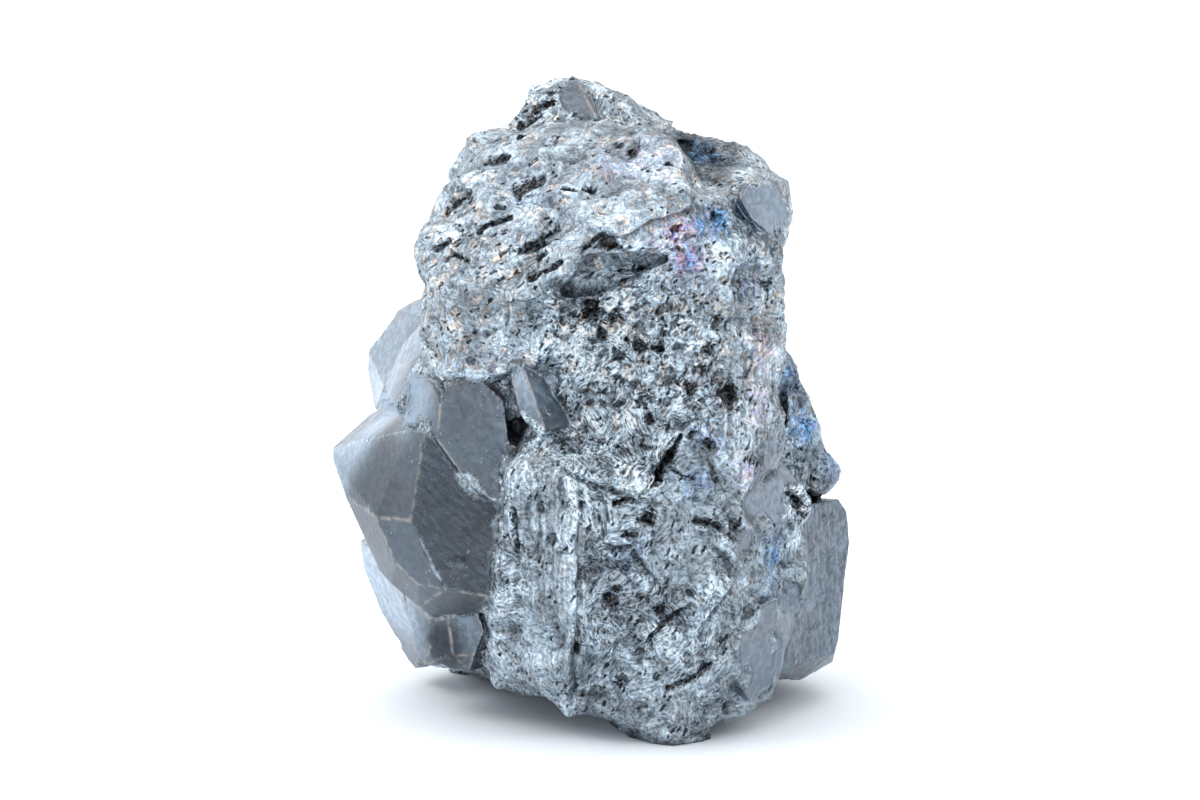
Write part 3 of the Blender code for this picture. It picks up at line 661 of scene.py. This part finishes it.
# Where two flat crystal faces meet at an angle, the edge is worn to a thin pale line.
edge_points = []
for edge in shape.edges:
    if len(edge.link_faces) != 2:
        continue
    one, two = (group_of[face.index] for face in edge.link_faces)
    if one != two and is_flat[one] and is_flat[two] and edge.calc_face_angle_signed(0.0) > EDGE_ANGLE:
        a, b = (np.array(vertex.co) / MM for vertex in edge.verts)
        steps = max(2, int(np.linalg.norm(b - a) / EDGE_GAP))
        edge_points += [a + (b - a) * t for t in np.linspace(0, 1, steps)]
edge_tree = KDTree(len(edge_points))
for k, place in enumerate(edge_points):
    edge_tree.insert(place, k)
edge_tree.balance()
worn = np.zeros(len(points))
shaky = warped(points, 0.9, 0.07, 95)
for k in np.flatnonzero(flat):
    worn[k] = math.exp(-((edge_tree.find(shaky[k])[2] / WORN_WIDTH) ** 2))
worn *= smooth(*WORN_FROM, points[:, 0])

# Colour of the tarnish: strength, and from blue to violet and gold.
weights = near_any(points, TARNISH)
strength = np.array([spot[2] for spot in TARNISH])
tarnish = np.clip((weights * strength[:, None]).max(0), 0, 1)
hue = (weights * np.array([spot[3] for spot in TARNISH])[:, None]).sum(0) / (weights.sum(0) + 1e-9)
# Painted light and shade of the crystal faces and smooth places.
weights = near_any(points, CRYSTAL_PAINTED_LIGHT)
painted_face_light = (weights.T @ np.array([spot[2] for spot in CRYSTAL_PAINTED_LIGHT]) + 0.02) / (weights.sum(0) + 0.02)

# What the material reads at each point.
marks = {
    "smooth_face": spread(np.maximum(flat, sleek), quads, 1),
    "worn_edge": worn,
    "depth": np.clip(deepness / DARK_DEPTH, 0, 1),
    "opening": np.where(flat, -1.0, opening),
    "pitted": pitted,
    "feathery": feathery,
    "banded": banded,
    "ridge": ridge,
    # Painted light and shade: of the faces on flat and smooth places, of the zones elsewhere.
    "painted_light": np.where(flat | (sleek > 0.5), painted_face_light, painted_light),
    "tarnish": tarnish,
    "hue": hue,
}


def make_piece(name, chosen):
    """One mesh object of the chosen quads, shaded as if it were not cut off from the rest."""
    used, corners = np.unique(quads[chosen], return_inverse=True)
    corners = corners.reshape(-1, 4)
    mesh = bpy.data.meshes.new(name)
    mesh.vertices.add(len(used))
    mesh.vertices.foreach_set("co", (points[used] * MM).ravel())
    mesh.loops.add(corners.size)
    mesh.loops.foreach_set("vertex_index", corners.ravel().astype(np.int32))
    mesh.polygons.add(len(corners))
    mesh.polygons.foreach_set("loop_start", np.arange(0, corners.size, 4, dtype=np.int32))
    mesh.update(calc_edges=True)
    mesh.validate()
    for mark, values in marks.items():
        attribute = mesh.attributes.new(mark, "FLOAT", "POINT")
        attribute.data.foreach_set("value", values[used].astype(np.float32))
    mesh.shade_smooth()
    mesh.normals_split_custom_set_from_vertices([tuple(n) for n in skin_normals[used]])
    obj = bpy.data.objects.new(name, mesh)
    bpy.context.scene.collection.objects.link(obj)
    obj.data.materials.append(mineral)
    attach(obj, "root")
    return obj


# Materials.

class Nodes:
    """A short way to add nodes to one material or world."""

    def __init__(self, tree):
        self.tree = tree

    def add(self, kind, values=None, **settings):
        node = self.tree.nodes.new(kind)
        for name, value in settings.items():
            setattr(node, name, value)
        for name, value in (values or {}).items():
            if isinstance(value, bpy.types.NodeSocket):
                self.tree.links.new(value, node.inputs[name])
            else:
                node.inputs[name].default_value = value
        return node

    def math(self, operation, *values):
        return self.add("ShaderNodeMath", dict(enumerate(values)), operation=operation).outputs[0]

    def plus(self, one, two):
        return self.math("ADD", one, two)

    def minus(self, one, two):
        return self.math("SUBTRACT", one, two)

    def times(self, one, two):
        return self.math("MULTIPLY", one, two)

    def vector(self, operation, *values):
        node = self.add("ShaderNodeVectorMath", dict(enumerate(values)), operation=operation)
        return node.outputs["Value" if operation == "DOT_PRODUCT" else "Vector"]

    def scaled(self, vector, by):
        node = self.add("ShaderNodeVectorMath", {0: vector, "Scale": by}, operation="SCALE")
        return node.outputs["Vector"]

    def mark(self, name):
        return self.add("ShaderNodeAttribute", attribute_name=name).outputs["Fac"]

    def noise(self, vector, size, detail=3.0, distortion=0.0):
        values = {"Vector": vector, "Scale": 1 / size, "Detail": detail, "Distortion": distortion}
        return self.add("ShaderNodeTexNoise", values).outputs["Fac"]

    def noise_colour(self, vector, size, detail):
        values = {"Vector": vector, "Scale": 1 / size, "Detail": detail}
        return self.add("ShaderNodeTexNoise", values).outputs["Color"]

    def ramp(self, value, low, high, start=0.0, end=1.0):
        """value from low to high becomes start to end, smoothly, and no further."""
        values = {"Value": value, "From Min": low, "From Max": high, "To Min": start, "To Max": end}
        node = self.add("ShaderNodeMapRange", values, interpolation_type="SMOOTHSTEP")
        return node.outputs["Result"]

    def mix(self, share, one, two):
        node = self.add("ShaderNodeMix", data_type="RGBA")
        for socket, value in ((node.inputs[0], share), (node.inputs[6], one), (node.inputs[7], two)):
            if isinstance(value, bpy.types.NodeSocket):
                self.tree.links.new(value, socket)
            else:
                socket.default_value = value
        return node.outputs[2]

    def facets(self, vector, size):
        """Flat facets about this size, each tilted at random: (height for a slope of 1, random number)."""
        cell = self.add("ShaderNodeTexVoronoi", {"Vector": vector, "Scale": 1 / size})
        away = self.vector("SUBTRACT", vector, cell.outputs["Position"])
        tilt = self.vector("SUBTRACT", cell.outputs["Color"], (0.5, 0.5, 0.5))
        shade = self.add("ShaderNodeSeparateColor", {"Color": cell.outputs["Color"]}).outputs[0]
        return self.times(self.vector("DOT_PRODUCT", away, tilt), 2.0), shade

    def plates(self, vector, size, pitch):
        """Thin parallel plates whose direction changes from cell to cell, from 0 to 1."""
        cell = self.add("ShaderNodeTexVoronoi", {"Vector": vector, "Scale": 1 / size})
        along = self.vector("NORMALIZE", self.vector("SUBTRACT", cell.outputs["Color"], (0.5, 0.5, 0.5)))
        bend = self.times(self.noise(vector, size * 0.35, 2.0), 1.6)
        wave = self.plus(self.math("DIVIDE", self.vector("DOT_PRODUCT", vector, along), pitch), bend)
        return self.math("PINGPONG", wave, 0.5)

    def slit_shade(self, vector, lean, size, chance):
        """Painted shade of angular slits that lean to the upper right; chance is the share of the places
        that have one.
        """
        values = {"Vector": vector, "Angle": lean}
        turned = self.add("ShaderNodeVectorRotate", values, rotation_type="Y_AXIS").outputs[0]
        pressed = self.vector("MULTIPLY", turned, (0.42, 0.8, 1.25))
        values = {"Vector": pressed, "Scale": 1 / size}
        cell = self.add("ShaderNodeTexVoronoi", values, distance="CHEBYCHEV")
        number = self.add("ShaderNodeSeparateColor", {"Color": cell.outputs["Color"]}).outputs[0]
        inside = self.ramp(cell.outputs["Distance"], 0.27, 0.36, 1.0, 0.0)
        return self.times(self.math("LESS_THAN", number, chance), inside)

    def streaks(self, vector, size, width):
        """Bundles of thin streaks, each bundle about this size and running its own way."""
        cell = self.add("ShaderNodeTexVoronoi", {"Vector": vector, "Scale": 1 / size})
        way = self.vector("NORMALIZE", self.vector("SUBTRACT", cell.outputs["Color"], (0.5, 0.5, 0.5)))
        along = self.vector("DOT_PRODUCT", vector, way)
        pressed = self.vector("SUBTRACT", vector, self.scaled(way, self.times(along, 0.86)))
        return self.noise(pressed, width, 2.0)


def colour(red, green, blue):
    """An opaque colour."""
    return (red, green, blue, 1.0)


# Reflected colours of the break and of the smooth faces, each with its warmer patches.
BREAK = (0.41, 0.485, 0.55)
WARM_BREAK = (0.66, 0.56, 0.48)
FACE = (0.165, 0.20, 0.24)
WARM_FACE = (0.175, 0.195, 0.225)

# Rust in the hollows, pale dots on the faces and the pale line of a worn edge.
RUST = (0.30, 0.13, 0.04)
DOTS = (0.60, 0.63, 0.64)
WORN = (0.50, 0.44, 0.38)

# Colours of the tarnish along its hue: dark and light blue, violet, rose and gold.
FILM = [
    (0.0, (0.03, 0.09, 0.22)),
    (0.26, (0.20, 0.50, 0.86)),
    (0.5, (0.27, 0.29, 0.76)),
    (0.72, (0.64, 0.35, 0.56)),
    (1.0, (0.76, 0.53, 0.32)),
]

# Which way the fine scratches of the crystals run.
SCRATCH_WAY = (0.60, 0.35, -0.72)


def mineral_material():
    """The one material, which reads the marks of the skin. Places and sizes are in millimetres."""
    material = bpy.data.materials.new("bournonite")
    material.use_nodes = True
    n = Nodes(material.node_tree)
    shader = material.node_tree.nodes["Principled BSDF"]
    place = n.scaled(n.add("ShaderNodeTexCoord").outputs["Object"], 1 / MM)
    face, worn_edge = n.mark("smooth_face"), n.mark("worn_edge")
    deep, ridge = n.mark("depth"), n.mark("ridge")
    pitted, feathery, banded = n.mark("pitted"), n.mark("feathery"), n.mark("banded")
    painted_light, tarnish, hue = n.mark("painted_light"), n.mark("tarnish"), n.mark("hue")

    # Relief of the break, in millimetres: winding creases, facets and thin plates.
    push = n.scaled(n.vector("SUBTRACT", n.noise_colour(place, 1.2, 3.0), (0.5, 0.5, 0.5)), 1.5)
    wound = n.vector("ADD", place, push)
    creases = n.noise(wound, 0.32, 4.0)
    coarse, coarse_shade = n.facets(wound, 1.1)
    fine, fine_shade = n.facets(wound, 0.30)
    plates = n.plates(wound, 1.6, 0.34)
    bent = n.vector("ADD", place, n.scaled(push, 0.35))
    streaks = n.streaks(bent, 2.0, 0.20)
    fibrous = n.plus(0.35, n.times(feathery, 0.65))
    rough_share = n.plus(0.58, n.times(pitted, 0.42))
    less_fine = n.minus(1.0, n.times(feathery, 0.55))
    relief = n.times(n.times(creases, less_fine), 0.36)
    relief = n.plus(relief, n.times(fine, 0.14))
    relief = n.plus(relief, n.times(n.times(plates, feathery), 0.08))
    relief = n.plus(relief, n.times(n.times(streaks, fibrous), 0.20))
    relief = n.times(relief, rough_share)
    relief = n.plus(relief, n.times(n.times(streaks, feathery), 0.16))
    relief = n.plus(relief, n.times(coarse, 0.14))
    upright = n.noise(n.vector("MULTIPLY", place, (3.0, 2.0, 0.35)), 0.8)
    relief = n.plus(relief, n.times(n.times(upright, banded), 0.16))

    # Painted shade in the gaps, with crisp edges: the pits and grooves, and slits wherever the break is
    # pitted.
    height_of = n.add("ShaderNodeSeparateXYZ", {"Vector": place}).outputs[2]
    opening = n.mark("opening")
    frayed = n.plus(opening, n.times(n.minus(n.noise(wound, 0.40, 4.0), 0.5), 5.0))
    gap_shade = n.ramp(n.plus(frayed, n.times(n.minus(fine_shade, 0.5), 1.2)), 0.50, 0.72)
    for k, (lean, size, heights) in enumerate(SLITS):
        crowd = n.ramp(n.noise(n.vector("ADD", place, (7.0 * k, 0.0, 0.0)), 2.6, 2.0), 0.40, 0.62)
        chance = n.times(crowd, n.times(n.math("SQRT", pitted), SLIT_SHARE))
        chance = n.plus(chance, n.ramp(opening, -0.7, 0.4, 0.0, 0.75))
        chance = n.times(chance, n.ramp(height_of, *heights))
        gap_shade = n.math("MAXIMUM", gap_shade, n.slit_shade(bent, lean, size, chance))

    # Relief of the smooth faces: fine lines along the crystals and small grains.
    lines = n.noise(n.vector("MULTIPLY", bent, (2.4, 2.4, 0.4)), 0.9, 5.0)
    across = n.scaled(n.vector("CROSS_PRODUCT", place, SCRATCH_WAY), 2.2)
    scratches = n.noise(n.vector("ADD", across, n.scaled(place, 0.25)), 0.9, 4.0)
    grains = n.ramp(n.noise(place, 0.5, 4.0), 0.60, 0.75)
    line_depth = n.plus(0.012, n.times(banded, 0.05))
    face_relief = n.plus(n.times(lines, line_depth), n.times(grains, 0.025))
    face_relief = n.plus(face_relief, n.times(scratches, 0.03))
    face_relief = n.plus(face_relief, n.times(n.noise(wound, 0.7, 3.0), n.times(banded, 0.15)))
    broken = n.minus(1.0, face)
    height = n.plus(n.times(relief, broken), n.times(face_relief, face))
    bump = n.add("ShaderNodeBump", {"Height": height, "Distance": MM, "Strength": 1.0})

    # Tone of the break: painted shade in the creases and hollows, and a painted highlight on the ridges.
    shade = n.ramp(creases, 0.38, 0.58, 0.55, 1.22)
    patch = n.times(pitted, n.ramp(n.noise(place, 2.4, 2.0), 0.35, 0.60))
    specks = n.ramp(n.noise(wound, 0.28, 2.0), n.plus(0.28, n.times(patch, 0.16)), 0.52, 0.22, 1.0)
    shade = n.times(shade, specks)
    shade = n.plus(1.0, n.times(n.minus(shade, 1.0), less_fine))
    shade = n.times(shade, n.plus(0.86, n.times(fine_shade, 0.28)))
    shade = n.times(shade, n.ramp(plates, 0.0, 0.30, 0.82, 1.06))
    streak_shade = n.ramp(streaks, 0.38, 0.60, -0.68, 0.50)
    shade = n.plus(shade, n.times(streak_shade, feathery))
    tone = n.plus(1.0, n.times(n.minus(shade, 1.0), rough_share))
    tone = n.times(tone, n.plus(0.82, n.times(coarse_shade, 0.36)))
    sway = n.times(feathery, 0.12)
    patchy = n.ramp(n.noise(bent, 2.6, 3.0), 0.34, 0.66, n.minus(0.72, sway), n.plus(1.30, sway))
    tone = n.times(tone, patchy)
    upright_shade = n.times(n.minus(n.ramp(upright, 0.38, 0.60, 0.72, 1.18), 1.0), banded)
    tone = n.times(tone, n.plus(1.0, upright_shade))
    # Painted shade in the hollows and a painted highlight on the ridges.
    tone = n.times(tone, n.ramp(ridge, -0.75, 0.1, 0.42, 1.0))
    tone = n.times(tone, n.ramp(ridge, 0.1, 0.9, 1.0, 1.25))
    # Painted light and shade of each zone of the break.
    tone = n.times(tone, painted_light)
    # Painted shade in the deep pits and holes.
    tone = n.times(tone, n.minus(1.0, n.times(deep, 0.45)))
    # Painted shade in the pits, grooves and slits.
    tone = n.times(tone, n.minus(1.0, n.times(gap_shade, n.ramp(creases, 0.46, 0.60, 0.90, 0.55))))
    warm_share = n.ramp(n.noise(wound, 1.0, 3.0), 0.50, 0.62)
    warm_share = n.times(warm_share, n.ramp(n.noise(wound, 0.3, 2.0), 0.44, 0.56))
    warm_share = n.times(warm_share, n.ramp(height_of, 18.0, 34.0, 0.25, 0.85))
    metal = n.mix(warm_share, colour(*BREAK), colour(*WARM_BREAK))

    # Tarnish, in patches.
    hue_here = n.plus(hue, n.times(n.minus(n.noise(bent, 0.42, 3.0), 0.5), 1.9))
    film = n.add("ShaderNodeValToRGB", {"Fac": hue_here})
    stops = film.color_ramp.elements
    for stop, (position, tint) in zip(stops, (FILM[0], FILM[-1])):
        stop.position = position
        stop.color = colour(*tint)
    for position, tint in FILM[1:-1]:
        stops.new(position).color = colour(*tint)
    cover = n.plus(n.noise(wound, 0.6, 4.0), n.times(tarnish, 0.14))
    patches = n.ramp(cover, 0.44, 0.62)
    film_share = n.times(n.times(tarnish, patches), 0.95)
    metal = n.mix(film_share, metal, film.outputs["Color"])
    metal = n.scaled(metal, tone)
    rust_share = n.times(n.ramp(deep, 0.35, 0.8), n.ramp(n.noise(place, 0.35, 2.0), 0.60, 0.68))
    rust_share = n.times(rust_share, n.minus(1.0, tarnish))
    metal = n.mix(n.times(rust_share, 0.45), metal, colour(*RUST))

    # Colour of the smooth faces.
    cloud = n.plus(0.78, n.times(n.noise(place, 2.4, 4.0), 0.24))
    cloud = n.plus(cloud, n.times(scratches, 0.20))
    scuffs = n.ramp(n.noise(wound, 0.55, 4.0), 0.40, 0.62, 0.72, 1.25)
    scuff_share = n.plus(0.20, n.plus(n.times(pitted, 0.9), n.times(banded, 0.45)))
    cloud = n.times(cloud, n.plus(1.0, n.times(n.minus(scuffs, 1.0), scuff_share)))
    skin = n.mix(n.ramp(n.noise(place, 3.5, 2.0), 0.4, 0.65), colour(*FACE), colour(*WARM_FACE))
    line_shade = n.times(n.minus(n.ramp(lines, 0.36, 0.62, 0.76, 1.16), 1.0), banded)
    cloud = n.times(cloud, n.plus(1.0, line_shade))
    # Painted light and shade of each crystal face and smooth place.
    skin = n.scaled(skin, n.times(cloud, painted_light))
    dots = n.ramp(n.noise(place, 0.22, 2.0), 0.66, 0.72)
    dot_share = n.times(dots, n.ramp(n.noise(place, 2.5, 2.0), 0.50, 0.62))
    skin = n.mix(n.times(dot_share, 0.5), skin, colour(*DOTS))
    line_share = n.times(worn_edge, n.ramp(n.noise(place, 0.7, 3.0), 0.36, 0.56))
    skin = n.mix(n.times(line_share, 0.6), skin, colour(*WORN))

    body = n.mix(face, metal, skin)
    break_rough = n.plus(0.30, n.times(fine_shade, 0.16))
    face_rough = n.plus(0.24, n.times(n.noise(place, 1.2, 3.0), 0.14))
    rough = n.plus(n.times(break_rough, broken), n.times(face_rough, face))
    links = material.node_tree.links
    links.new(body, shader.inputs["Base Color"])
    links.new(rough, shader.inputs["Roughness"])
    links.new(bump.outputs["Normal"], shader.inputs["Normal"])
    shader.inputs["Metallic"].default_value = 1.0
    return material


mineral = mineral_material()
skin_normals = normals_of(points, quads)
at_edge = flat & ((skin_normals * plane_normal).sum(1) < EDGE_COSINE)
skin_normals[at_edge] = plane_normal[at_edge]

# Pieces: the skin is cut at these heights, so that none has too many triangles.
CUT_HEIGHTS = [8.8, 18.0, 27.0, 36.0]
middles = points[quads].mean(1)[:, 2]
band = np.searchsorted(CUT_HEIGHTS, middles)
pieces = [make_piece("specimen_%d" % (k + 1), band == k) for k in range(len(CUT_HEIGHTS) + 1)]
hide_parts("bournonite")
print("pieces", [2 * len(piece.data.polygons) for piece in pieces])


# The studio: a pale floor, a white surround that is darker on the camera's side, and soft lamps.

# Half the floor's width, in metres, and its two tints.
FLOOR_HALF = 3.0
FLOOR_TINTS = [(0.87, 0.91, 0.955), (0.90, 0.94, 0.975)]

# Strength of the surround on the camera's side and elsewhere, and what is added above and on the left.
FRONT_LIGHT = 0.06
SIDE_LIGHT = 0.62
TOP_LIGHT = 1.35
LEFT_LIGHT = 0.55

# Colour of the surround.
SURROUND = (0.97, 0.985, 1.0)

# Where the lamps point, in metres, and each lamp's name, place, width and power.
AIM = Vector((0.0, 0.0, 0.024))
LAMPS = [
    ("lamp_left", (-0.45, -0.10, 0.55), 0.30, 1.1),
    ("lamp_right", (0.50, -0.20, 0.40), 0.20, 0.45),
]

# What the camera looks at, how far off it is, how far it looks down, and its lens.
CAMERA_TARGET = Vector((0.60, -1.125, 23.7)) * MM
CAMERA_AWAY = 360.0 * MM
CAMERA_RISE = math.radians(12.0)
CAMERA_LENS = 143.64
CAMERA_SENSOR = 36.0
CAMERA_NEAR = 10.0 * MM


def make_floor():
    """The floor, which isn't part of the specimen."""
    mesh = bpy.data.meshes.new("floor")
    signs = ((-1, -1), (1, -1), (1, 1), (-1, 1))
    mesh.from_pydata([(FLOOR_HALF * x, FLOOR_HALF * y, 0) for x, y in signs], [], [(0, 1, 2, 3)])
    material = bpy.data.materials.new("floor")
    material.use_nodes = True
    n = Nodes(material.node_tree)
    shader = material.node_tree.nodes["Principled BSDF"]
    grain = n.noise(n.add("ShaderNodeTexCoord").outputs["Object"], 0.02, 3.0)
    tint = n.mix(grain, *(colour(*tint) for tint in FLOOR_TINTS))
    material.node_tree.links.new(tint, shader.inputs["Base Color"])
    shader.inputs["Roughness"].default_value = 0.75
    mesh.materials.append(material)
    floor = bpy.data.objects.new("floor", mesh)
    bpy.context.scene.collection.objects.link(floor)


def make_surround():
    """The light from all round, which the camera sees as plain white."""
    world = bpy.data.worlds.new("surround")
    bpy.context.scene.world = world
    world.use_nodes = True
    tree = world.node_tree
    n = Nodes(tree)
    way = n.add("ShaderNodeSeparateXYZ", {"Vector": n.add("ShaderNodeTexCoord").outputs["Generated"]})
    side, ahead, up = (way.outputs[k] for k in range(3))
    strength = n.ramp(ahead, -0.95, 0.1, FRONT_LIGHT, SIDE_LIGHT)
    strength = n.plus(strength, n.ramp(up, 0.15, 0.95, 0.0, TOP_LIGHT))
    strength = n.plus(strength, n.ramp(side, 0.1, -0.9, 0.0, LEFT_LIGHT))
    seen = n.add("ShaderNodeLightPath").outputs["Is Camera Ray"]
    strength = n.plus(n.times(strength, n.minus(1.0, seen)), seen)
    tree.nodes["Background"].inputs["Color"].default_value = colour(*SURROUND)
    tree.links.new(strength, tree.nodes["Background"].inputs["Strength"])


def make_lamp(name, place, width, power):
    """A soft square lamp."""
    data = bpy.data.lights.new(name, "AREA")
    data.size = width
    data.energy = power
    lamp = bpy.data.objects.new(name, data)
    bpy.context.scene.collection.objects.link(lamp)
    lamp.location = place
    lamp.rotation_euler = (AIM - Vector(place)).to_track_quat("-Z", "Y").to_euler()
    lamp.visible_camera = False


def make_camera():
    """The camera at the photograph's angle."""
    data = bpy.data.cameras.new("camera")
    data.lens = CAMERA_LENS
    data.sensor_width = CAMERA_SENSOR
    data.clip_start = CAMERA_NEAR
    camera = bpy.data.objects.new("camera", data)
    bpy.context.scene.collection.objects.link(camera)
    back = Vector((0.0, -math.cos(CAMERA_RISE), math.sin(CAMERA_RISE)))
    camera.location = CAMERA_TARGET + back * CAMERA_AWAY
    camera.rotation_euler = (-back).to_track_quat("-Z", "Y").to_euler()
    bpy.context.scene.camera = camera


make_floor()
make_surround()
for lamp in LAMPS:
    make_lamp(*lamp)
make_camera()
bpy.context.scene.view_settings.view_transform = "Standard"
